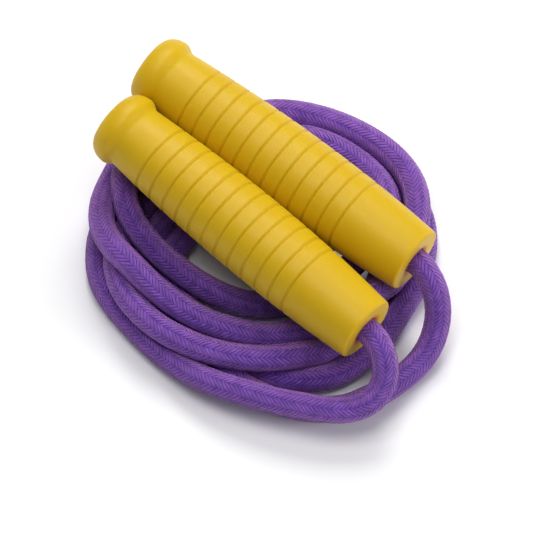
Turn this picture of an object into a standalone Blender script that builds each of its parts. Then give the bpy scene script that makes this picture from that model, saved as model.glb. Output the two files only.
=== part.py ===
"""Jump rope: two hollow moulded handles lying on a coiled braided rope.

Metres, +Z up. The rope's coil stands on the plane z = 0. The front handle lies along X, its nose towards
+X, and the rear handle lies beside it towards +Y. Each handle turns freely on its own end of the rope.
"""

import math

import bmesh
import bpy
from mathutils import Euler, Matrix, Vector

# Rope
ROPE_DIAMETER = 0.010
TOUCH_GAP = 0.0003  # left between solids that touch on the real rope

# Coil: the outer shape of all its turns, rising towards the handles' butt ends
COIL_CENTRE = Vector((0.0, 0.044, 0.0))
COIL_OUTER_RADIUS = 0.066
COIL_INNER_RADIUS = 0.022
COIL_LAYERS_AT_CENTRE = 1.9  # rope diameters of height on the coil's centre line
COIL_CORNER = 0.004
COIL_SEGMENTS = 48

# Handle, turned about its own axis; distances along it run from the butt (0) to the nose
HANDLE_LENGTH = 0.1275
FLARE_RADIUS = 0.0147
FLARE_AT = 0.0070
NECK_RADIUS = 0.01285
NECK_AT = 0.0115
BARREL_RADIUS = 0.01545
BARREL_AT = 0.0730
NOSE_RADIUS = 0.01295
NOSE_EDGE_ROUNDING = 0.0010
NECK_WALL = 0.0038
BUTT_LIP_WIDTH = 0.0006
NOSE_WALL = 0.0060
NOSE_HOLE_CLEARANCE = 0.0008  # between the rope and the hole it leaves by
GROOVE_COUNT = 12
GROOVE_PITCH = 0.0067
FIRST_GROOVE_AT = 0.0245
GROOVE_WIDTH = 0.0013
GROOVE_DEPTH = 0.0005
HANDLE_SEGMENTS = 24

# Where the handles lie
PITCH = math.radians(5.0)  # nose down
YAW_A = math.radians(-0.45)
YAW_B = math.radians(3.05)  # the rear handle's nose is turned away from the front one's
NOSE_A_PLAN = (0.0577, 0.0382)
NOSE_B_BEHIND = 0.0065  # along X, from the front handle's nose
HANDLE_GAP = 0.0011
HANDLE_A_LIFT = 0.0024  # the front handle lies a little higher on the rope than the rear one

# Rope end inside each handle: a crimped ferrule bears on a washer, and the washer on the nose wall
WASHER_THICKNESS = 0.0015
WASHER_BORE_CLEARANCE = 0.0005
WASHER_RIM_CLEARANCE = 0.0008
FERRULE_LENGTH = 0.0130
FERRULE_WALL = 0.0011
FERRULE_WAIST = 0.0005
TAIL_BEYOND_FERRULE = 0.0050
RING_SEGMENTS = 24

# The free rope between nose and coil, in metres: each list starts a few millimetres out of the nose
STRAIGHT_OUT = 0.003
ROUTE_A = (
    (0.0643, 0.0373, 0.0311),
    (0.0677, 0.0360, 0.0294),
    (0.0706, 0.0342, 0.0268),
    (0.0728, 0.0319, 0.0239),
    (0.0739, 0.0290, 0.0210),
    (0.0740, 0.0255, 0.0186),
    (0.0729, 0.0215, 0.0166),
    (0.0704, 0.0174, 0.0153),
    (0.0666, 0.0133, 0.0148),
    (0.0621, 0.0099, 0.0147),
    (0.0573, 0.0069, 0.0147),
    (0.0527, 0.0047, 0.0146),
    (0.0466, 0.0020, 0.0140),
    (0.0391, -0.0008, 0.0126),
)
ROUTE_B = (
    (0.0577, 0.0727, 0.0290),
    (0.0611, 0.0719, 0.0268),
    (0.0641, 0.0706, 0.0236),
    (0.0665, 0.0689, 0.0199),
    (0.0684, 0.0667, 0.0160),
    (0.0698, 0.0640, 0.0126),
    (0.0709, 0.0608, 0.0096),
    (0.0716, 0.0569, 0.0073),
    (0.0719, 0.0524, 0.0058),
    (0.0717, 0.0475, 0.0051),
    (0.0711, 0.0422, 0.0050),
    (0.0701, 0.0366, 0.0050),
    (0.0686, 0.0309, 0.0050),
    (0.0666, 0.0254, 0.0050),
    (0.0641, 0.0203, 0.0050),
    (0.0608, 0.0159, 0.0050),
    (0.0570, 0.0128, 0.0050),
    (0.0520, 0.0093, 0.0050),
)
TUBE_STEP = 0.0055
TUBE_ROUNDNESS = 2
CURVE_SAMPLES = 12

# Worked out from the sizes above
ROPE_RADIUS = ROPE_DIAMETER / 2
BORE_RADIUS = NECK_RADIUS - NECK_WALL
NOSE_HOLE_RADIUS = ROPE_RADIUS + NOSE_HOLE_CLEARANCE
SHOULDER_AT = HANDLE_LENGTH - NOSE_WALL
WASHER_AT = SHOULDER_AT - TOUCH_GAP - WASHER_THICKNESS
FERRULE_AT = WASHER_AT - TOUCH_GAP - FERRULE_LENGTH
ROPE_END_AT = FERRULE_AT - TAIL_BEYOND_FERRULE


def clear_scene():
    for old in list(bpy.data.objects):
        bpy.data.objects.remove(old, do_unlink=True)


def finish_material(name, colour, roughness, metallic=0.0):
    material = bpy.data.materials.new(name)
    material.use_nodes = True
    shader = material.node_tree.nodes["Principled BSDF"]
    shader.inputs["Base Color"].default_value = (*colour, 1.0)
    shader.inputs["Roughness"].default_value = roughness
    shader.inputs["Metallic"].default_value = metallic
    return material


def add_object(name, data, material, parent=None):
    piece = bpy.data.objects.new(name, data)
    bpy.context.scene.collection.objects.link(piece)
    data.materials.append(material)
    piece.parent = parent
    return piece


def turned_mesh(name, outline, segments):
    """A closed outline of (distance along X, radius) points, spun about the X axis."""
    shape = bmesh.new()
    ring = [shape.verts.new((along, 0.0, radius)) for along, radius in outline]
    edges = [shape.edges.new((ring[i - 1], ring[i])) for i in range(len(ring))]
    bmesh.ops.spin(
        shape,
        geom=ring + edges,
        cent=(0, 0, 0),
        axis=(1, 0, 0),
        angle=math.tau,
        steps=segments,
        use_merge=True,
    )
    bmesh.ops.remove_doubles(shape, verts=shape.verts, dist=1e-6)
    bmesh.ops.recalc_face_normals(shape, faces=shape.faces)
    mesh = bpy.data.meshes.new(name)
    shape.to_mesh(mesh)
    shape.free()
    mesh.shade_smooth()
    mesh.set_sharp_from_angle(angle=math.radians(35))
    return mesh


def barrel_radius(at):
    """The barrel's crowned outline: fullest at BARREL_AT, falling to the neck and to the nose."""
    if at < BARREL_AT:
        share = (BARREL_AT - at) / (BARREL_AT - NECK_AT)
        return BARREL_RADIUS - (BARREL_RADIUS - NECK_RADIUS) * share**2
    share = (at - BARREL_AT) / (HANDLE_LENGTH - BARREL_AT)
    return BARREL_RADIUS - (BARREL_RADIUS - NOSE_RADIUS) * share**2


def grip_outline():
    """The handle's section, from the butt's lip over the outside to the nose, then back down the bore."""
    outline = [(0.0, BORE_RADIUS)]
    lip_radius = BORE_RADIUS + BUTT_LIP_WIDTH
    for step in range(7):
        turn = math.radians(90) * step / 6
        rise = (FLARE_RADIUS - lip_radius) * math.sin(turn)
        outline.append((FLARE_AT * (1 - math.cos(turn)), lip_radius + rise))
    for step in range(1, 6):
        share = step / 5
        fall = (FLARE_RADIUS - NECK_RADIUS) * (1 - math.cos(math.pi * share)) / 2
        outline.append((FLARE_AT + (NECK_AT - FLARE_AT) * share, FLARE_RADIUS - fall))
    before_grooves = (NECK_AT + FIRST_GROOVE_AT) / 2
    outline.append((before_grooves, barrel_radius(before_grooves)))
    for number in range(GROOVE_COUNT):
        middle = FIRST_GROOVE_AT + number * GROOVE_PITCH
        for at, depth in ((middle - GROOVE_WIDTH / 2, 0), (middle, GROOVE_DEPTH), (middle + GROOVE_WIDTH / 2, 0)):
            outline.append((at, barrel_radius(at) - depth))
    last_groove = FIRST_GROOVE_AT + (GROOVE_COUNT - 1) * GROOVE_PITCH
    edge_at = HANDLE_LENGTH - NOSE_EDGE_ROUNDING
    for share in (0.36, 0.68):
        at = last_groove + (edge_at - last_groove) * share
        outline.append((at, barrel_radius(at)))
    edge_radius = barrel_radius(edge_at) - NOSE_EDGE_ROUNDING
    for degrees in (0, 30, 60, 90):
        turn = math.radians(degrees)
        at = edge_at + NOSE_EDGE_ROUNDING * math.sin(turn)
        outline.append((at, edge_radius + NOSE_EDGE_ROUNDING * math.cos(turn)))
    outline.append((HANDLE_LENGTH, NOSE_HOLE_RADIUS))
    outline.append((SHOULDER_AT, NOSE_HOLE_RADIUS))
    outline.append((SHOULDER_AT, BORE_RADIUS))
    return [(at - HANDLE_LENGTH, radius) for at, radius in outline]


def washer_outline():
    inside = ROPE_RADIUS + WASHER_BORE_CLEARANCE
    outside = BORE_RADIUS - WASHER_RIM_CLEARANCE
    near = WASHER_AT - HANDLE_LENGTH
    far = near + WASHER_THICKNESS
    return [(near, inside), (near, outside), (far, outside), (far, inside)]


def ferrule_outline():
    """A short tube with two crimped waists round its outside."""
    inside = ROPE_RADIUS + TOUCH_GAP
    outside = inside + FERRULE_WALL
    start = FERRULE_AT - HANDLE_LENGTH
    shares = (0.0, 0.16, 0.24, 0.36, 0.44, 0.56, 0.64, 0.76, 0.84, 1.0)
    waists = (0, 0, 1, 1, 0, 0, 1, 1, 0, 0)
    outline = [(start, inside)]
    for share, waist in zip(shares, waists):
        outline.append((start + FERRULE_LENGTH * share, outside - FERRULE_WAIST * waist))
    outline.append((start + FERRULE_LENGTH, inside))
    return outline


def coil_top(x):
    """Height of the coil's upper side, which slopes as the handles lying on it do."""
    return COIL_LAYERS_AT_CENTRE * ROPE_DIAMETER - math.tan(PITCH) * (x - COIL_CENTRE.x)


def coil_mesh(name):
    """A ring with rounded edges, flat below and sloping above."""
    corner = [math.radians(90) * step / 3 for step in range(4)]
    section = [(COIL_INNER_RADIUS + COIL_CORNER * (1 - math.sin(t)), COIL_CORNER * (1 - math.cos(t)), 0) for t in corner]
    section += [(COIL_INNER_RADIUS + COIL_CORNER * (1 - math.cos(t)), COIL_CORNER * (1 - math.sin(t)), 1) for t in corner]
    section += [(COIL_OUTER_RADIUS - COIL_CORNER * (1 - math.sin(t)), COIL_CORNER * (1 - math.cos(t)), 1) for t in corner]
    section += [(COIL_OUTER_RADIUS - COIL_CORNER * (1 - math.cos(t)), COIL_CORNER * (1 - math.sin(t)), 0) for t in corner]
    shape = bmesh.new()
    rings = []
    for step in range(COIL_SEGMENTS):
        angle = math.tau * step / COIL_SEGMENTS
        ring = []
        for radius, inset, at_top in section:
            x = COIL_CENTRE.x + radius * math.cos(angle)
            y = COIL_CENTRE.y + radius * math.sin(angle)
            ring.append(shape.verts.new((x, y, coil_top(x) - inset if at_top else inset)))
        rings.append(ring)
    for step in range(COIL_SEGMENTS):
        ring = rings[step]
        following = rings[(step + 1) % COIL_SEGMENTS]
        for i in range(len(section)):
            shape.faces.new((ring[i - 1], ring[i], following[i], following[i - 1]))
    bmesh.ops.recalc_face_normals(shape, faces=shape.faces)
    mesh = bpy.data.meshes.new(name)
    shape.to_mesh(mesh)
    shape.free()
    mesh.shade_smooth()
    mesh.set_sharp_from_angle(angle=math.radians(35))
    return mesh


def smooth_curve(points):
    """Points of a Catmull-Rom curve through these ones."""
    padded = [2 * points[0] - points[1], *points, 2 * points[-1] - points[-2]]
    curve = []
    for i in range(1, len(padded) - 2):
        before, start, end, after = padded[i - 1 : i + 3]
        for step in range(CURVE_SAMPLES):
            t = step / CURVE_SAMPLES
            pull = (end - before) * t + (2 * before - 5 * start + 4 * end - after) * t**2
            curve.append(start + (pull + (3 * start - before - 3 * end + after) * t**3) / 2)
    return [*curve, padded[-2]]


def evenly_spaced(curve, step):
    """The curve's length in equal parts, each about one step long."""
    lengths = [0.0]
    for before, after in zip(curve, curve[1:]):
        lengths.append(lengths[-1] + (after - before).length)
    count = round(lengths[-1] / step)
    spaced = []
    segment = 0
    for number in range(count + 1):
        wanted = lengths[-1] * number / count
        while segment < len(curve) - 2 and lengths[segment + 1] < wanted:
            segment += 1
        share = (wanted - lengths[segment]) / (lengths[segment + 1] - lengths[segment])
        spaced.append(curve[segment].lerp(curve[segment + 1], share))
    return spaced


def tube_curve(name, points, radius):
    data = bpy.data.curves.new(name, "CURVE")
    data.dimensions = "3D"
    data.bevel_depth = radius
    data.bevel_resolution = TUBE_ROUNDNESS
    data.use_fill_caps = True
    spline = data.splines.new("POLY")
    spline.points.add(len(points) - 1)
    for knot, point in zip(spline.points, points):
        knot.co = (*point, 1.0)
    spline.use_smooth = True
    return data


def handle_empty(name, nose, yaw):
    empty = bpy.data.objects.new(name, None)
    bpy.context.scene.collection.objects.link(empty)
    empty.location = nose
    empty.rotation_euler = Euler((0, PITCH, yaw))
    return empty


def nose_point(x, y, lift):
    """A nose's centre, at the height that lays the handle's fullest part just above the coil."""
    forward = (HANDLE_LENGTH - BARREL_AT) * math.cos(PITCH)
    axis_height = coil_top(x - forward) + TOUCH_GAP + BARREL_RADIUS / math.cos(PITCH) + lift
    return Vector((x, y, axis_height - forward * math.tan(PITCH)))


def rope_run(nose, yaw, route):
    """The rope from its end inside the handle, straight out of the nose, and on along its route."""
    turn = Euler((0, PITCH, yaw)).to_matrix()
    inside = nose + turn @ Vector((ROPE_END_AT - HANDLE_LENGTH, 0, 0))
    inside_points = [inside.lerp(nose, share) for share in (0, 0.25, 0.5, 0.75, 1)]
    out = nose + turn @ Vector((STRAIGHT_OUT, 0, 0))
    return evenly_spaced(smooth_curve([*inside_points, out, *map(Vector, route)]), TUBE_STEP)


def seat_in_coil(coil, points, label):
    """Hollows the coil where a run of rope goes into it, a touching gap wider and deeper than the rope."""
    beyond = points[-1] + (points[-1] - points[-2]).normalized() * TOUCH_GAP
    guide = bpy.data.objects.new(label + "_guide", tube_curve(label, [*points, beyond], ROPE_RADIUS + TOUCH_GAP))
    cutter = bpy.data.objects.new(label, bpy.data.meshes.new_from_object(guide))
    bpy.data.objects.remove(guide)
    bpy.context.scene.collection.objects.link(cutter)
    cutter.hide_render = True
    cutter.display_type = "WIRE"
    cut = coil.modifiers.new(label, "BOOLEAN")
    cut.operation = "DIFFERENCE"
    cut.object = cutter


def build():
    clear_scene()
    yellow = finish_material("yellow_plastic", (0.80, 0.55, 0.06), 0.38)
    purple = finish_material("purple_braid", (0.16, 0.06, 0.42), 0.80)
    steel = finish_material("plated_steel", (0.62, 0.63, 0.65), 0.32, 1.0)

    beside = 2 * BARREL_RADIUS + HANDLE_GAP + math.tan(YAW_B - YAW_A) * (HANDLE_LENGTH - BARREL_AT)
    nose_a = nose_point(*NOSE_A_PLAN, HANDLE_A_LIFT)
    nose_b = nose_point(NOSE_A_PLAN[0] - NOSE_B_BEHIND, NOSE_A_PLAN[1] + beside, 0.0)

    coil = add_object("rope_coil", coil_mesh("rope_coil"), purple)
    grip_mesh = turned_mesh("grip", grip_outline(), HANDLE_SEGMENTS)
    washer_mesh = turned_mesh("washer", washer_outline(), RING_SEGMENTS)
    ferrule_mesh = turned_mesh("ferrule", ferrule_outline(), RING_SEGMENTS)
    ends = (("a", nose_a, YAW_A, ROUTE_A), ("b", nose_b, YAW_B, ROUTE_B))
    for letter, nose, yaw, route in ends:
        spin_axis = handle_empty("spin_axis_" + letter, nose, yaw)
        rope_end = handle_empty("rope_end_" + letter, nose, yaw)
        add_object("grip_" + letter, grip_mesh.copy(), yellow, spin_axis)
        add_object("washer_" + letter, washer_mesh.copy(), steel, rope_end)
        add_object("ferrule_" + letter, ferrule_mesh.copy(), steel, rope_end)
        points = rope_run(nose, yaw, route)
        add_object("rope_run_" + letter, tube_curve("rope_run_" + letter, points, ROPE_RADIUS), purple)
        seat_in_coil(coil, points, "seat_" + letter)


build()
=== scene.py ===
"""A coiled jump rope: one purple braided rope with a yellow moulded handle on each end."""

import math

import bpy
import numpy as np
from mathutils import Euler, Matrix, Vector


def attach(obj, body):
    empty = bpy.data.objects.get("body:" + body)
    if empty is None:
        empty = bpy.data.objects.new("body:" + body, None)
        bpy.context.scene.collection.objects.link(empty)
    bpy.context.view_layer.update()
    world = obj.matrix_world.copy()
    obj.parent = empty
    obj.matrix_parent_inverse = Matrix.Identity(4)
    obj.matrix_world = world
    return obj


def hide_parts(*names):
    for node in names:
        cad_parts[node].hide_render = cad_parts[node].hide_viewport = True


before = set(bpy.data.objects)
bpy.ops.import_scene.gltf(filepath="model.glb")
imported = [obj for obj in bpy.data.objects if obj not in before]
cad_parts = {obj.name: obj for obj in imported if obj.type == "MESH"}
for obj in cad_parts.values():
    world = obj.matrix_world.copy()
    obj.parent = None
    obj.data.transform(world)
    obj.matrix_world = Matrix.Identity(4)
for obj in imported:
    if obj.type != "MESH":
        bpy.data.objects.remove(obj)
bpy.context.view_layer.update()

# The camera is far off with a long lens, 60 degrees above the floor and to the right of the handles' noses.
CAMERA_TURN = math.radians(41.3)
CAMERA_RISE = math.radians(60)
CAMERA_DISTANCE = 6.0
VIEW_WIDTH = 0.1996
AIM = Vector((0.0071, 0.0394, 0.020))

bpy.ops.object.select_all(action="DESELECT")
towards_camera = Vector(
    (
        math.sin(CAMERA_TURN) * math.cos(CAMERA_RISE),
        -math.cos(CAMERA_TURN) * math.cos(CAMERA_RISE),
        math.sin(CAMERA_RISE),
    )
)
bpy.ops.object.camera_add(
    location=AIM + towards_camera * CAMERA_DISTANCE,
    rotation=(math.radians(90) - CAMERA_RISE, 0, CAMERA_TURN),
)
camera = bpy.context.object
camera.data.lens = camera.data.sensor_width * CAMERA_DISTANCE / VIEW_WIDTH
camera.data.clip_end = 50
bpy.context.scene.camera = camera


# The rope is a round braid of polyester over a soft core, 10 mm thick and about 1.92 m long. It is folded in
# half and wound as a pair into a round coil of a little over two turns, and its two ends rise from the right of
# the coil into the handles. Its own weight and stiffness settle the turns on each other.
ROPE_DIAMETER = 0.010
ROPE_END_AT = 0.1014  # from the handle's butt, inside the bore
COIL_CENTRE = Vector((0.0, 0.044, 0.0))

# The handles' outline and place, which the rope rests against. A is in front and B is behind it.
HANDLE_LENGTH = 0.1275
FLARE_RADIUS = 0.0147
NECK_RADIUS = 0.01285
NECK_AT = 0.0115
BARREL_RADIUS = 0.01545
BARREL_AT = 0.0730
NOSE_RADIUS = 0.01295
PITCH = math.radians(5.0)
YAW_A = math.radians(-0.45)
YAW_B = math.radians(3.05)
NOSE_A = Vector((0.0577, 0.0382, 0.03216))
NOSE_B = Vector((0.0512, 0.07353, 0.03033))
STRAIGHT_OUT = 0.003  # how far the rope runs on straight past a nose

# The two ends of the rope from the noses to the coil.
ROUTE_A = (
    (0.0643, 0.0373, 0.0311),
    (0.0677, 0.0360, 0.0294),
    (0.0706, 0.0342, 0.0268),
    (0.0728, 0.0319, 0.0239),
    (0.0739, 0.0290, 0.0210),
    (0.0740, 0.0255, 0.0186),
    (0.0729, 0.0215, 0.0166),
    (0.0704, 0.0174, 0.0153),
    (0.0666, 0.0133, 0.0148),
    (0.0621, 0.0099, 0.0147),
    (0.0573, 0.0069, 0.0147),
    (0.0527, 0.0047, 0.0146),
    (0.0466, 0.0020, 0.0140),
    (0.0391, -0.0008, 0.0126),
)
ROUTE_B = (
    (0.0577, 0.0727, 0.0290),
    (0.0611, 0.0719, 0.0268),
    (0.0641, 0.0706, 0.0236),
    (0.0665, 0.0689, 0.0199),
    (0.0684, 0.0667, 0.0160),
    (0.0698, 0.0640, 0.0126),
    (0.0709, 0.0608, 0.0096),
    (0.0716, 0.0569, 0.0073),
    (0.0719, 0.0524, 0.0058),
    (0.0717, 0.0475, 0.0051),
    (0.0711, 0.0422, 0.0050),
    (0.0701, 0.0366, 0.0050),
    (0.0686, 0.0309, 0.0050),
    (0.0666, 0.0254, 0.0050),
    (0.0641, 0.0203, 0.0050),
    (0.0608, 0.0159, 0.0050),
    (0.0570, 0.0128, 0.0050),
    (0.0520, 0.0093, 0.0050),
)
# The turns as laid: degrees round the coil from the camera's right, then millimetres from its centre
# and above the floor.
LAY_A = (
    (-98, 57, 13), (-116, 53, 8), (-139, 50.5, 5), (-159, 54, 5), (-171, 57.5, 5), (-182, 59.5, 5),
    (-195, 61, 5), (-210, 61, 5), (-240, 60, 5), (-270, 60, 5), (-300, 60.5, 5), (-320, 63, 5),
    (-333, 65.5, 5), (-345, 64, 5), (-356, 60.5, 5), (-370, 55, 5), (-392, 53, 5), (-415, 51, 5),
    (-432, 49, 5), (-450, 46, 5), (-470, 36, 5), (-490, 33, 5), (-510, 34, 5), (-540, 37, 5),
    (-555, 34, 5), (-565, 30, 5), (-590, 36, 5), (-615, 44, 7), (-635, 50, 13), (-647, 54, 15),
    (-661, 53, 15), (-670, 52.5, 15), (-680, 54, 15), (-690, 54.5, 15), (-699, 52.5, 15), (-728, 32, 13),
    (-760, 22, 8), (-810, 17, 6), (-834, 18, 8), (-856, 21, 12), (-873, 25.5, 14), (-887, 30, 16),
    (-895, 35, 17), (-903, 40.5, 19), (-910, 46, 20), (-915, 51, 21.5), (-921, 55, 23), (-925, 57.5, 24.5),
)  # fmt: skip
LAY_B = (
    (-90, 55.5, 5), (-100, 50, 5), (-110, 45, 5), (-125, 42, 5), (-140, 41, 5), (-160, 44, 5),
    (-180, 46.5, 5), (-195, 44, 5), (-205, 39, 5), (-230, 42, 5), (-260, 49, 5), (-300, 50, 5),
    (-340, 51, 5), (-360, 50, 5), (-380, 48, 5), (-400, 46, 5), (-413, 45, 7), (-426, 45.5, 12),
    (-441, 45.5, 15), (-455, 45, 15), (-470, 45, 15), (-485, 46, 14), (-500, 49, 14), (-515, 51.5, 14),
    (-526, 54, 14), (-536, 55.5, 13.5), (-550, 55, 11), (-565, 49, 7), (-590, 53, 5), (-615, 58.5, 8),
    (-624, 61.5, 12), (-631, 63, 15), (-643, 62.5, 15), (-660, 63.5, 15), (-675, 65, 15), (-684, 65.5, 15),
    (-694, 65.5, 15), (-715, 57, 15), (-740, 45, 14), (-765, 39, 13), (-780, 37.5, 13), (-792, 36, 13),
    (-804, 35.5, 13), (-816, 34.5, 14), (-830, 34, 14), (-843, 34.5, 14), (-856, 36.5, 15), (-869, 39.5, 16),
    (-880, 44, 18), (-889, 49.5, 20), (-897, 55, 21.5), (-904, 59.5, 21.5), (-910, 61.5, 21),
    (-918, 62, 19.5), (-923, 62, 17.5), (-927, 62, 15.5),
)  # fmt: skip
# The fold in the middle of the rope lies under the handles; these are plain positions in millimetres.
FOLD = (
    (-59.5, 36, 24.5), (-61.5, 43, 24.5), (-61, 50.5, 23.5), (-59, 58, 22), (-53, 64, 20), (-44, 66.5, 18),
    (-35, 64, 16.5), (-28.5, 58, 15), (-23, 50.5, 13), (-16.5, 45, 10.5), (-9, 42.5, 8), (-3, 42, 6.5),
    (3.5, 43.5, 6), (8.5, 47, 6), (12, 52, 6), (13.5, 58.5, 6), (12, 65, 6), (8.5, 70, 6.5), (3.5, 73.5, 7.5),
    (-4, 75, 9), (-15, 76, 12), (-28, 77, 13), (-39, 77.5, 13), (-49.5, 75.5, 13), (-58.5, 70.5, 13),
    (-64.5, 62.5, 13), (-66, 53, 13.5), (-64, 44, 14), (-61, 36.5, 14.5),
)  # fmt: skip
CURVE_POINTS = 12  # between two laid points

# How the laid rope settles, round by round, with every length in metres.
SETTLE_STEP = 0.004  # length of one step along the rope
SETTLE_ROUNDS = 1600
LAST_ROUNDS = 250  # all but the pressing fades out over these
LOOK_AGAIN = 25  # rounds between two searches for strands that lie near each other
NEARBY = 0.017  # centre to centre
OUT_OF_REACH = 8  # steps along the rope that its own stiffness keeps apart
WEIGHT = 0.00002  # how far it would sink in a round
PULL_BACK = 0.03  # towards where the rope was laid
GIVE = 0.75  # share of that pull that is let go towards the camera and away from it
STIFFNESS = ((1, 0.0375), (2, 0.025), (4, 0.005))  # (steps to each side, how hard a bend is straightened)
PRESS_ROUNDS = 2
PRESS = 0.7  # share of an overlap that is pushed apart at a time
PAST_BUTT = 0.004  # a handle also pushes rope that lies this far past its ends
PAST_NOSE = 0.003
LET_GO = 4  # steps before the coil from which an end of the rope is free to settle


def along_handle(nose, yaw, distance):
    """A point on a handle's axis, that far past its nose."""
    return nose + Euler((0, PITCH, yaw)).to_matrix() @ Vector((distance, 0, 0))


def coil_point(degrees, radius, height):
    """A place in the coil, from the way the turns were laid."""
    angle = math.radians(degrees) + CAMERA_TURN
    return COIL_CENTRE + Vector((radius * math.cos(angle), radius * math.sin(angle), height)) / 1000


def smooth_line(points, step):
    """Even steps along a smooth curve through the points, which may be unevenly spaced."""
    points = [np.array(p, float) for p in points]
    padded = [2 * points[0] - points[1], *points, 2 * points[-1] - points[-2]]
    curve = []
    for p0, p1, p2, p3 in zip(padded, padded[1:], padded[2:], padded[3:]):
        t1 = np.linalg.norm(p1 - p0) ** 0.5
        t2 = t1 + np.linalg.norm(p2 - p1) ** 0.5
        t3 = t2 + np.linalg.norm(p3 - p2) ** 0.5
        for t in np.linspace(t1, t2, CURVE_POINTS, endpoint=False):
            a1 = p0 + (p1 - p0) * t / t1
            a2 = p1 + (p2 - p1) * (t - t1) / (t2 - t1)
            a3 = p2 + (p3 - p2) * (t - t2) / (t3 - t2)
            b1 = a1 + (a2 - a1) * t / t2
            b2 = a2 + (a3 - a2) * (t - t1) / (t3 - t1)
            curve.append(b1 + (b2 - b1) * (t - t1) / (t2 - t1))
    return even_steps(np.array([*curve, points[-1]]), step)


def even_steps(curve, step):
    """The same line with its points a step apart."""
    reach = np.concatenate([[0], np.cumsum(np.linalg.norm(np.diff(curve, axis=0), axis=1))])
    wanted = np.linspace(0, reach[-1], round(reach[-1] / step) + 1)
    return np.stack([np.interp(wanted, reach, curve[:, axis]) for axis in range(3)], axis=1)


def barrel_radius(at):
    """The crowned barrel falls away from its thickest place to the neck and to the nose."""
    to_neck = (BARREL_RADIUS - NECK_RADIUS) * ((BARREL_AT - at) / (BARREL_AT - NECK_AT)) ** 2
    to_nose = (BARREL_RADIUS - NOSE_RADIUS) * ((at - BARREL_AT) / (HANDLE_LENGTH - BARREL_AT)) ** 2
    return BARREL_RADIUS - np.where(at < BARREL_AT, to_neck, to_nose)


def handle_radius(at):
    """How far the outside of a handle stands from its axis, by distance from the butt."""
    return np.where(at < NECK_AT, FLARE_RADIUS, barrel_radius(at))


def push_out_of_handle(line, nose, yaw, free):
    """Rope that lies inside a handle's outline is moved straight out to its surface."""
    forward = np.array(along_handle(Vector(), yaw, 1))
    offset = line - np.array(nose)
    past_nose = offset @ forward
    sideways = offset - np.outer(past_nose, forward)
    distance = np.linalg.norm(sideways, axis=1)
    at = past_nose + HANDLE_LENGTH
    needed = handle_radius(np.clip(at, 0, HANDLE_LENGTH)) + ROPE_DIAMETER / 2
    inside = (at > -PAST_BUTT) & (at < HANDLE_LENGTH + PAST_NOSE) & (distance < needed) & free
    line[inside] += sideways[inside] * (needed[inside] / distance[inside] - 1)[:, None]


def settle(laid, free):
    """Lets the laid rope sink and press against itself, the floor and the handles until it lies still."""
    line = laid.copy()
    number = np.arange(len(line))
    view = np.array(towards_camera)
    for turn in range(SETTLE_ROUNDS):
        if turn % LOOK_AGAIN == 0:
            gap = np.linalg.norm(line[:, None] - line[None], axis=2)
            first, second = np.nonzero((gap < NEARBY) & (number[None] - number[:, None] >= OUT_OF_REACH))
        back = laid - line
        move = PULL_BACK * (back - GIVE * np.outer(back @ view, view))
        move[:, 2] -= WEIGHT
        for reach, stiffness in STIFFNESS:
            bend = np.zeros_like(line)
            bend[reach:-reach] = line[: -2 * reach] + line[2 * reach :] - 2 * line[reach:-reach]
            spring = bend[: -2 * reach] + bend[2 * reach :] - 2 * bend[reach:-reach]
            move[reach:-reach] -= stiffness * spring
        line[free] += move[free] * min(1, (SETTLE_ROUNDS - turn) / LAST_ROUNDS)
        for _ in range(PRESS_ROUNDS):
            apart = line[second] - line[first]
            distance = np.linalg.norm(apart, axis=1)
            close = distance < ROPE_DIAMETER
            push = apart[close] * (PRESS * (ROPE_DIAMETER / distance[close] - 1))[:, None]
            total = np.zeros_like(line)
            touches = np.zeros(len(line))
            np.add.at(total, first[close], -push)
            np.add.at(total, second[close], push)
            np.add.at(touches, first[close], 1)
            np.add.at(touches, second[close], 1)
            line[free] += (total / np.maximum(touches, 1)[:, None])[free]
            push_out_of_handle(line, NOSE_A, YAW_A, free)
            push_out_of_handle(line, NOSE_B, YAW_B, free)
            # The rope keeps its length: every second step is put right, and then those between.
            for start in (0, 1):
                here = number[start:-1:2]
                after = here + 1
                span = line[after] - line[here]
                stretch = span * (1 - SETTLE_STEP / np.linalg.norm(span, axis=1))[:, None] / 2
                share = np.maximum(1.0 * free[here] + free[after], 1)[:, None]
                line[here] += stretch * (free[here][:, None] / share)
                line[after] -= stretch * (free[after][:, None] / share)
            line[free, 2] = np.maximum(line[free, 2], ROPE_DIAMETER / 2)
    return line


def rope_end(nose, yaw, route):
    """From the ferrule along the bore, straight out of the nose, and on by the route to the coil."""
    inside = [along_handle(nose, yaw, (ROPE_END_AT - HANDLE_LENGTH) * share) for share in (1, 0.75, 0.5, 0.25, 0)]
    return [*inside, along_handle(nose, yaw, STRAIGHT_OUT), *map(Vector, route)]


end_a = rope_end(NOSE_A, YAW_A, ROUTE_A)
end_b = rope_end(NOSE_B, YAW_B, ROUTE_B)
turns_a = [coil_point(*place) for place in LAY_A]
turns_b = [coil_point(*place) for place in LAY_B]
fold = [Vector(place) / 1000 for place in FOLD]
laid = smooth_line([*end_a, *turns_a, *fold, *reversed(turns_b), *reversed(end_b)], SETTLE_STEP)
held_a = len(smooth_line(end_a, SETTLE_STEP)) - LET_GO
held_b = len(smooth_line(end_b, SETTLE_STEP)) - LET_GO
free = np.ones(len(laid), bool)
free[:held_a] = False
free[-held_b:] = False
settled = settle(laid, free)

# The braid's picks are 1.7 mm apart and stand in 10 columns round the rope. They lean to the left and to the
# right by turns, so that they meet in rows of small chevrons.
PICK = 0.0017
COLUMNS = 10
LEAN = 2.0  # how many picks one leans across its column
ROPE_SIDES = 40
PICK_HEIGHT = 0.00013
PICK_SHARE = 0.6  # of that height, along each column
COLUMN_SHARE = 0.5  # of that height, down to the seams between the columns
TWIST_PER_METRE = 1.3 * math.tau
SEALED_END = (0.55, 0.82, 0.95)  # how a melted end narrows, from its tip


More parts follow.
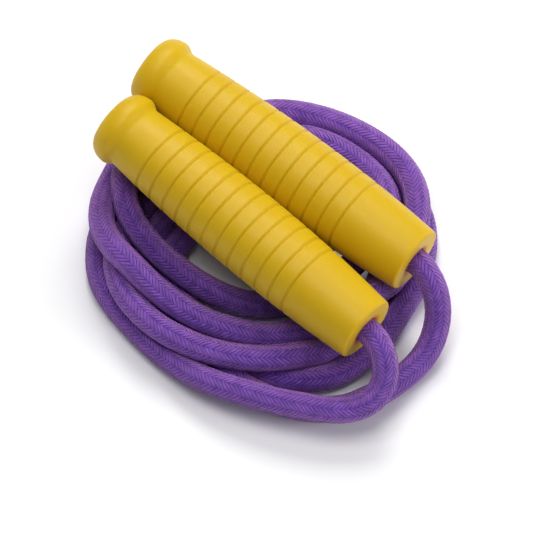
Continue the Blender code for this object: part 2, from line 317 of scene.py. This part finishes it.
def rope_tube(name, line):
    """A closed tube along the line with the braid's relief, and UVs in columns round it and picks along it."""
    line = even_steps(line, PICK / 2)
    ahead = np.gradient(line, axis=0)
    ahead /= np.linalg.norm(ahead, axis=1)[:, None]
    up = np.cross(ahead[0], (0.0, 1.0, 0.0))
    verts = []
    angles = np.arange(ROPE_SIDES) * math.tau / ROPE_SIDES
    zigzag = np.abs((np.arange(ROPE_SIDES) * COLUMNS / ROPE_SIDES) % 2 - 1)
    seams = -np.abs(np.cos(math.pi * np.arange(ROPE_SIDES) * COLUMNS / ROPE_SIDES))
    step = np.linalg.norm(line[1] - line[0])
    for i, (centre, forward) in enumerate(zip(line, ahead)):
        up -= forward * (up @ forward)
        up /= np.linalg.norm(up)
        side = np.cross(forward, up)
        turned = angles + TWIST_PER_METRE * step * i
        picks = np.cos(math.pi * (i + 2 * LEAN * zigzag))
        radius = ROPE_DIAMETER / 2 + PICK_HEIGHT * (picks * PICK_SHARE + seams * COLUMN_SHARE)
        if i < len(SEALED_END):
            radius = radius * SEALED_END[i]
        if i >= len(line) - len(SEALED_END):
            radius = radius * SEALED_END[len(line) - 1 - i]
        verts.append(centre + radius[:, None] * (np.outer(np.cos(turned), up) + np.outer(np.sin(turned), side)))
    rings = len(verts)
    verts = np.concatenate([*verts, line[:1], line[-1:]])
    faces = []
    coords = []
    around = COLUMNS / 2 / ROPE_SIDES
    for i in range(rings - 1):
        low = i * ROPE_SIDES
        for k in range(ROPE_SIDES):
            after = (k + 1) % ROPE_SIDES
            faces.append((low + k, low + after, low + ROPE_SIDES + after, low + ROPE_SIDES + k))
            coords += [(k * around, i / 2), ((k + 1) * around, i / 2)]
            coords += [((k + 1) * around, (i + 1) / 2), (k * around, (i + 1) / 2)]
    for ring, pole, row in ((0, len(verts) - 2, 0), (rings - 1, len(verts) - 1, rings - 1)):
        for k in range(ROPE_SIDES):
            after = (k + 1) % ROPE_SIDES
            edge = (k, after) if row else (after, k)
            faces.append((ring * ROPE_SIDES + edge[0], ring * ROPE_SIDES + edge[1], pole))
            coords += [(edge[0] * around, row / 2), (edge[1] * around, row / 2), (k * around, row / 2)]
    mesh = bpy.data.meshes.new(name)
    mesh.from_pydata(verts.tolist(), [], faces)
    mesh.uv_layers.new(name="braid").data.foreach_set("uv", np.array(coords).ravel())
    mesh.shade_smooth()
    tube = bpy.data.objects.new(name, mesh)
    bpy.context.scene.collection.objects.link(tube)
    return tube, line


def new_material(name, values):
    """A material and its shader, with these plain values on it."""
    material = bpy.data.materials.new(name)
    material.use_nodes = True
    shader = material.node_tree.nodes["Principled BSDF"]
    for socket, value in values.items():
        shader.inputs[socket].default_value = value
    return material, shader


def node(material, kind, values=None, **settings):
    """A new node with its settings, and with plain values on its inputs."""
    made = material.node_tree.nodes.new(kind)
    for setting, value in settings.items():
        setattr(made, setting, value)
    for socket, value in (values or {}).items():
        made.inputs[socket].default_value = value
    return made


def link(material, source, target):
    """Joins an output socket to an input socket."""
    material.node_tree.links.new(source, target)


def noise(material, place, scale, detail=2):
    """Soft noise over these coordinates, from 0 to 1."""
    made = node(material, "ShaderNodeTexNoise", {"Scale": scale, "Detail": detail}, noise_dimensions="3D")
    link(material, place, made.inputs["Vector"])
    return made.outputs["Fac"]


def colour_ramp(material, amount, *colours):
    """The colours evenly spaced from amount 0 to 1."""
    made = node(material, "ShaderNodeValToRGB")
    stops = made.color_ramp.elements
    for number, colour in enumerate(colours):
        place = number / (len(colours) - 1)
        stop = stops[0] if place == 0 else stops[-1] if place == 1 else stops.new(place)
        stop.color = colour
    link(material, amount, made.inputs["Fac"])
    return made.outputs["Color"]


def math_node(material, operation, first, second=None, clamp=False):
    """A Math node fed by sockets or plain numbers."""
    made = node(material, "ShaderNodeMath", operation=operation, use_clamp=clamp)
    for socket, value in enumerate((first, second)):
        if isinstance(value, (int, float)):
            made.inputs[socket].default_value = value
        elif value is not None:
            link(material, value, made.inputs[socket])
    return made.outputs[0]


# The yarn is a glossy purple whose lit side turns pinkish. Painted shade darkens it between the picks and at the
# seams between the columns, and a painted highlight brightens the tops of the picks.
YARN_DARK = (0.022, 0.010, 0.170, 1)
YARN_PURPLE = (0.084, 0.031, 0.410, 1)
YARN_BRIGHT = (0.270, 0.100, 0.640, 1)
SHEEN_PINK = (1.0, 0.50, 0.75, 1)
GLOSS_PINK = (1.0, 0.50, 0.62, 1)
PICK_UNEVEN = 0.6  # how far a pick strays from its row, in picks
PICK_FULL = 0.7  # under 1 is a fuller pick with a narrower gap after it
SEAM_FULL = 0.35  # the same for a whole column and its seams
SEAM_DEEP = 0.6  # share of a pick's height that is lost at a seam
FIBRES_PER_PICK = 5.0
FIBRE_RELIEF = 0.8  # against a pick's own height
HEIGHT_PAINTED_SHADE_AND_HIGHLIGHT = 0.8  # how much each of these brightens the yarn; by height this is painted shade in the gaps and a painted highlight on the picks' tops
TONE_OF_FIBRES = 0.6
TONE_OF_PATCHES = 0.9
TONE_DARKEST = 0.65  # the sum at which the yarn is darkest

braid, shader = new_material(
    "purple_braid",
    {
        "Roughness": 0.46,
        "Specular IOR Level": 0.8,
        "Specular Tint": GLOSS_PINK,
        "Sheen Weight": 0.6,
        "Sheen Roughness": 0.45,
        "Sheen Tint": SHEEN_PINK,
    },
)
place = node(braid, "ShaderNodeTexCoord").outputs["Object"]
along_braid = node(braid, "ShaderNodeSeparateXYZ")
link(braid, node(braid, "ShaderNodeUVMap", uv_map="braid").outputs["UV"], along_braid.inputs[0])
column = math_node(braid, "MULTIPLY", along_braid.outputs["X"], 2.0)
leaning = math_node(braid, "MULTIPLY", math_node(braid, "PINGPONG", column, 1.0), LEAN)
straying = math_node(braid, "MULTIPLY", noise(braid, place, 500), PICK_UNEVEN)
phase = math_node(braid, "ADD", math_node(braid, "ADD", along_braid.outputs["Y"], leaning), straying)


def rounded(phase, fullness):
    """A row of rounded humps, one to each whole number."""
    wave = math_node(braid, "SINE", math_node(braid, "MULTIPLY", phase, math.pi))
    return math_node(braid, "POWER", math_node(braid, "ABSOLUTE", wave), fullness)


seam = math_node(braid, "MULTIPLY", rounded(column, SEAM_FULL), SEAM_DEEP)
height = math_node(braid, "MULTIPLY", rounded(phase, PICK_FULL), math_node(braid, "ADD", seam, 1 - SEAM_DEEP))
# Fine yarn fibres run along each pick, and the dye is a little patchy.
combed = node(braid, "ShaderNodeCombineXYZ")
link(braid, math_node(braid, "MULTIPLY", phase, FIBRES_PER_PICK), combed.inputs["X"])
link(braid, column, combed.inputs["Y"])
fibres = noise(braid, combed.outputs[0], 1.6, detail=3)
patches = noise(braid, place, 300)
# Painted shade and painted highlight from the picks' height, then the fibres' and the dye's own tone.
painted_light_and_tone = math_node(braid, "MULTIPLY", height, HEIGHT_PAINTED_SHADE_AND_HIGHLIGHT)
painted_light_and_tone = math_node(braid, "ADD", painted_light_and_tone, math_node(braid, "MULTIPLY", fibres, TONE_OF_FIBRES))
painted_light_and_tone = math_node(braid, "ADD", painted_light_and_tone, math_node(braid, "MULTIPLY", patches, TONE_OF_PATCHES))
painted_light_and_tone = math_node(braid, "SUBTRACT", painted_light_and_tone, TONE_DARKEST, clamp=True)
link(braid, colour_ramp(braid, painted_light_and_tone, YARN_DARK, YARN_PURPLE, YARN_BRIGHT), shader.inputs["Base Color"])
bump = node(braid, "ShaderNodeBump", {"Strength": 1.0, "Distance": 0.0007})
relief = math_node(braid, "ADD", height, math_node(braid, "MULTIPLY", fibres, FIBRE_RELIEF))
link(braid, relief, bump.inputs["Height"])
link(braid, bump.outputs["Normal"], shader.inputs["Normal"])

rope, rope_line = rope_tube("rope", settled)
rope.data.materials.append(braid)
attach(rope, "rope")
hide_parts("rope_coil", "rope_run_a", "rope_run_b")

# Each handle is one hollow moulding of glossy yellow plastic: a rounded flare round the open butt, a crowned
# barrel with twelve narrow finger grooves, and a thick flat nose with the rope's hole through it.
FLARE_AT = 0.0070
NOSE_EDGE = 0.0010
NOSE_WALL = 0.0060
NOSE_HOLE_RADIUS = 0.0054
HOLE_EDGE = 0.0004
HOLE_RINGS = (0.0026, 0.0015, 0.0007)  # rings on the nose, by distance from the hole's edge
BORE_RADIUS = 0.00905
BORE_CORNER = 0.0003
BORE_RING_AT = 0.0350
LIP_RADIUS = 0.00965
BORE_DRAFT = 0.0001  # the bore is this much narrower at its nose end
MOUTH = ((0.0006, 0), (0.0001, 0.0002))  # its rounded mouth: distance from the butt, and out from the bore
NECK_RINGS = (0.12, 0.24, 0.36, 0.48, 0.6, 0.72, 0.84, 0.94, 1)  # shares of the way from flare to neck
PLAIN_AFTER_NECK = (0.0140, 0.0175, 0.0210)
PLAIN_TO_NOSE = (0.1060, 0.1120, 0.1180, 0.1235)
GROOVE_COUNT = 12
GROOVE_PITCH = 0.0067
FIRST_GROOVE_AT = 0.0245
GROOVE_WIDTH = 0.0013
GROOVE_DEPTH = 0.00062
GROOVE_SHAPE = ((-0.65, 0), (-0.45, 0.4), (-0.18, 0.9), (0, 1), (0.16, 0.85), (0.36, 0.25), (0.5, 0))  # in shares
HANDLE_SIDES = 96
SMOOTH_UNDER = math.radians(38)


def grip_outline():
    """(distance from the butt, radius), from the bore's mouth over the outside and back down the bore."""
    outline = [(at, BORE_RADIUS + out) for at, out in MOUTH]
    for degrees in range(0, 91, 9):
        turn = math.radians(degrees)
        outline.append((FLARE_AT * (1 - math.cos(turn)), LIP_RADIUS + (FLARE_RADIUS - LIP_RADIUS) * math.sin(turn)))
    for share in NECK_RINGS:
        fall = (FLARE_RADIUS - NECK_RADIUS) * (1 - math.cos(math.pi * share)) / 2
        outline.append((FLARE_AT + (NECK_AT - FLARE_AT) * share, FLARE_RADIUS - fall))
    outline += [(at, barrel_radius(at)) for at in PLAIN_AFTER_NECK]
    for number in range(GROOVE_COUNT):
        middle = FIRST_GROOVE_AT + number * GROOVE_PITCH
        for share, depth in GROOVE_SHAPE:
            at = middle + GROOVE_WIDTH * share
            outline.append((at, barrel_radius(at) - GROOVE_DEPTH * depth))
        outline.append((middle + GROOVE_PITCH / 2, barrel_radius(middle + GROOVE_PITCH / 2)))
    outline += [(at, barrel_radius(at)) for at in (*PLAIN_TO_NOSE, HANDLE_LENGTH - NOSE_EDGE)]
    edge_radius = barrel_radius(HANDLE_LENGTH - NOSE_EDGE) - NOSE_EDGE
    for degrees in (18, 36, 54, 72, 90):
        turn = math.radians(degrees)
        at = HANDLE_LENGTH - NOSE_EDGE + NOSE_EDGE * math.sin(turn)
        outline.append((at, edge_radius + NOSE_EDGE * math.cos(turn)))
    outline += [(HANDLE_LENGTH, NOSE_HOLE_RADIUS + beyond) for beyond in HOLE_RINGS]
    inner_wall_at = HANDLE_LENGTH - NOSE_WALL
    return [
        *outline,
        (HANDLE_LENGTH - HOLE_EDGE, NOSE_HOLE_RADIUS),
        (inner_wall_at, NOSE_HOLE_RADIUS),
        (inner_wall_at, BORE_RADIUS - BORE_CORNER),
        (inner_wall_at - BORE_CORNER, BORE_RADIUS - BORE_DRAFT),
        (BORE_RING_AT, BORE_RADIUS),
    ]


def draw_out(name, outline, sides):
    """One ring drawn out along X and resized at each point of the outline, then joined to where it began."""
    bpy.ops.object.select_all(action="DESELECT")
    start, radius = outline[0]
    bpy.ops.mesh.primitive_circle_add(
        vertices=sides, radius=radius, location=(start, 0, 0), rotation=(0, math.radians(90), 0)
    )
    piece = bpy.context.object
    piece.name = name
    bpy.ops.object.transform_apply(location=True, rotation=True, scale=True)
    bpy.ops.object.mode_set(mode="EDIT")
    bpy.ops.mesh.select_all(action="SELECT")
    for (before, old), (at, new) in zip(outline, [*outline[1:], outline[0]]):
        bpy.ops.mesh.extrude_edges_move(TRANSFORM_OT_translate={"value": (at - before, 0, 0)})
        bpy.ops.transform.resize(value=(1, new / old, new / old), center_override=(at, 0, 0))
    bpy.ops.mesh.select_all(action="SELECT")
    bpy.ops.mesh.remove_doubles(threshold=0.00001)
    bpy.ops.mesh.normals_make_consistent(inside=False)
    bpy.ops.object.mode_set(mode="OBJECT")
    bpy.ops.object.shade_smooth_by_angle(angle=SMOOTH_UNDER)
    return piece


def put_on_rope_end(piece, nose, yaw):
    """Turns and moves a piece from the X axis, butt at the origin, onto its end of the rope."""
    bpy.ops.object.select_all(action="DESELECT")
    piece.select_set(True)
    bpy.context.view_layer.objects.active = piece
    piece.rotation_euler = (0, PITCH, yaw)
    piece.location = along_handle(nose, yaw, -HANDLE_LENGTH)
    bpy.ops.object.transform_apply(location=True, rotation=True, scale=True)


# The plastic is a warm yellow that lets a little light in. A painted orange glow is put into its colour round the
# edge of the rope's hole, and a weaker one, standing for shade, inside the bore.
YELLOWS = ((0.590, 0.372, 0.005, 1), (0.625, 0.405, 0.007, 1))
PAINTED_GLOW_ORANGE = (0.60, 0.150, 0.004, 1)
GLOW_FULL = 0.0006  # from the hole's edge, as far as the painted orange glow is full
GLOW_FADE = 0.0019
BORE_PAINTED_GLOW = 0.25

plastic, shader = new_material(
    "yellow_plastic",
    {
        "Roughness": 0.44,
        "Specular IOR Level": 0.25,
        "Subsurface Weight": 0.35,
        "Subsurface Scale": 0.006,
        "Subsurface Radius": (1.0, 0.35, 0.05),
    },
)
place = node(plastic, "ShaderNodeTexCoord").outputs["Object"]
# The yellow is mixed towards the painted orange glow by a share kept on the handle's vertices.
tint = node(plastic, "ShaderNodeMix", {"B": PAINTED_GLOW_ORANGE}, data_type="RGBA")
link(plastic, node(plastic, "ShaderNodeAttribute", attribute_name="painted_glow").outputs["Fac"], tint.inputs["Factor"])
link(plastic, colour_ramp(plastic, noise(plastic, place, 45), *YELLOWS), tint.inputs["A"])
link(plastic, tint.outputs["Result"], shader.inputs["Base Color"])
bump = node(plastic, "ShaderNodeBump", {"Strength": 0.12, "Distance": 0.0002})
link(plastic, noise(plastic, place, 1500), bump.inputs["Height"])
link(plastic, bump.outputs["Normal"], shader.inputs["Normal"])

front_grip = draw_out("front_grip", grip_outline(), HANDLE_SIDES)
front_grip.data.materials.append(plastic)
# The painted glow's share: full at the hole's edge and fading out over the nose, and a weaker even share in the
# bore.
painted_glow = front_grip.data.attributes.new("painted_glow", "FLOAT", "POINT")
for vertex, amount in zip(front_grip.data.vertices, painted_glow.data):
    out = math.hypot(vertex.co.y, vertex.co.z)
    if vertex.co.x > HANDLE_LENGTH - NOSE_EDGE / 2:
        amount.value = min(1, max(0, 1 - (out - NOSE_HOLE_RADIUS - GLOW_FULL) / GLOW_FADE))
    else:
        amount.value = BORE_PAINTED_GLOW * (out < BORE_RADIUS + BORE_DRAFT)
rear_grip = front_grip.copy()
rear_grip.data = front_grip.data.copy()
rear_grip.name = "rear_grip"
bpy.context.scene.collection.objects.link(rear_grip)
put_on_rope_end(front_grip, NOSE_A, YAW_A)
put_on_rope_end(rear_grip, NOSE_B, YAW_B)
for grip, body, cad_node in ((front_grip, "handle_a", "grip_a"), (rear_grip, "handle_b", "grip_b")):
    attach(grip, body)
    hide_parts(cad_node)

# Inside each handle a zinc-plated ferrule is crimped on the rope's end in two places. It bears on a loose
# steel washer, and the washer on the wall of the nose, so that the handle turns freely on the rope.
steel, shader = new_material("plated_steel", {"Metallic": 1.0, "Base Color": (0.62, 0.63, 0.65, 1)})
place = node(steel, "ShaderNodeTexCoord").outputs["Object"]
dullness = node(steel, "ShaderNodeMapRange", {"To Min": 0.25, "To Max": 0.45})
link(steel, noise(steel, place, 400), dullness.inputs["Value"])
link(steel, dullness.outputs["Result"], shader.inputs["Roughness"])
end_pieces = [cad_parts[name] for name in ("ferrule_a", "ferrule_b", "washer_a", "washer_b")]
for piece in end_pieces:
    piece.data.materials.clear()
    piece.data.materials.append(steel)

# The rope lies on a pale floor in a bright white room, with one big soft light behind it, one above it and one
# far to its right. The floor is just under it, so that the two don't share a plane.
FLOOR_SIDE = 8
FLOOR_UNDER = 0.0002
bpy.ops.object.select_all(action="DESELECT")
bpy.ops.mesh.primitive_plane_add(size=FLOOR_SIDE, location=(0, 0, -FLOOR_UNDER))
floor = bpy.context.object
floor.name = "floor"
paint, shader = new_material("pale_floor", {"Base Color": (0.94, 0.94, 0.94, 1), "Roughness": 0.9})
floor.data.materials.append(paint)

# (name, place, size, power)
LIGHTS = (
    ("key", (-0.50, 0.75, 1.10), 0.7, 12),
    ("top", (-0.1, -0.15, 1.6), 0.8, 11),
    ("side", (1.3, 0.6, 0.6), 0.6, 9),
)
ROOM_LIGHT = 0.24
for light_name, start, size, power in LIGHTS:
    bpy.ops.object.light_add(type="AREA", location=start)
    light = bpy.context.object
    light.name = light_name
    light.data.size = size
    light.data.energy = power
    light.rotation_euler = (Vector(start) - AIM).to_track_quat("Z", "Y").to_euler()
room = bpy.data.worlds.new("room")
room.use_nodes = True
room.node_tree.nodes["Background"].inputs["Color"].default_value = (1, 1, 1, 1)
room.node_tree.nodes["Background"].inputs["Strength"].default_value = ROOM_LIGHT
bpy.context.scene.world = room
bpy.context.scene.view_settings.view_transform = "Standard"
